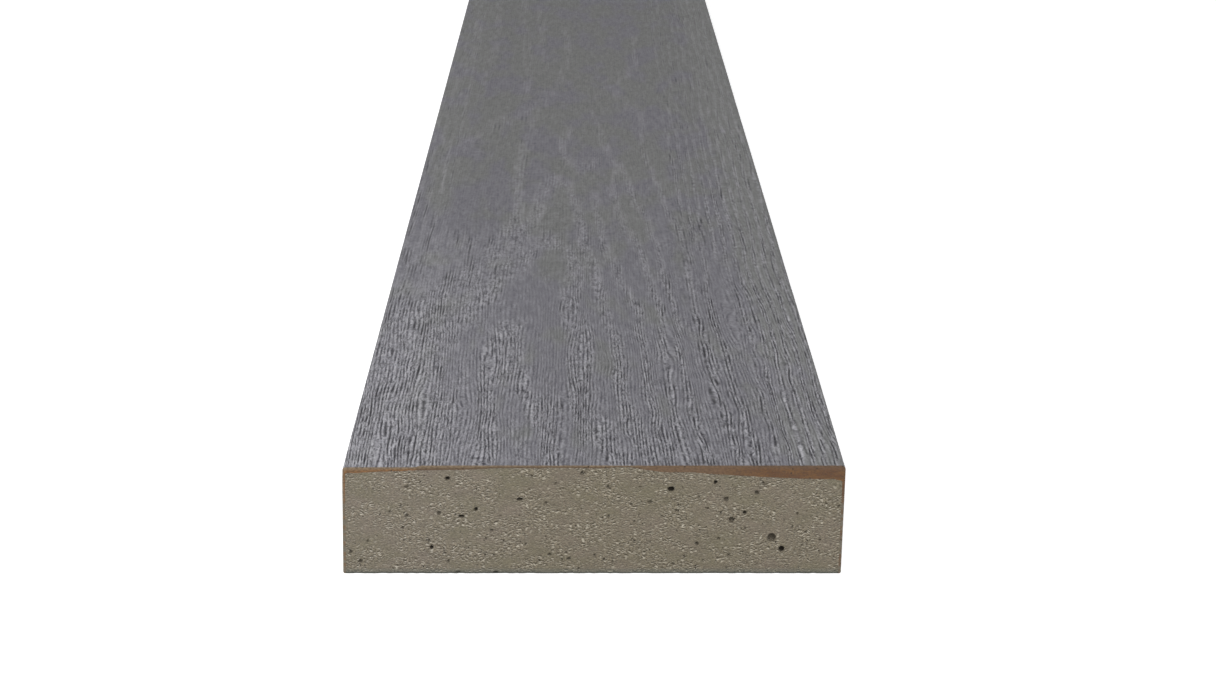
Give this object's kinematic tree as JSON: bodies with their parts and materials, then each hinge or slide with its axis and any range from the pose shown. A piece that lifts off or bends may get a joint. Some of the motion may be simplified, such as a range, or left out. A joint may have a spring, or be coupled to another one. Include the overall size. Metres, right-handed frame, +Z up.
{
  "type": "composite decking board",
  "caption": "Long solid decking board of resin-mineral composite with a thin bonded grey wear skin, brushed oak grain on the walking face and square sawn ends.",
  "frame": {"origin": "middle of the underside", "axes": "+Y along the board, +X across it, +Z up out of the grained walking face"},
  "size_m": [0.145, 3.6, 0.032],
  "materials": {
    "core_composite": "sawn mineral-filled resin, beige grey, with small air bubbles and short white glass fibres",
    "skin_resin": "matt grey brushed wood grain, brown where it is cut"
  },
  "bodies": {
    "root": {"mineral_core": "core_composite", "wear_skin": "skin_resin"}
  },
  "joints": []
}
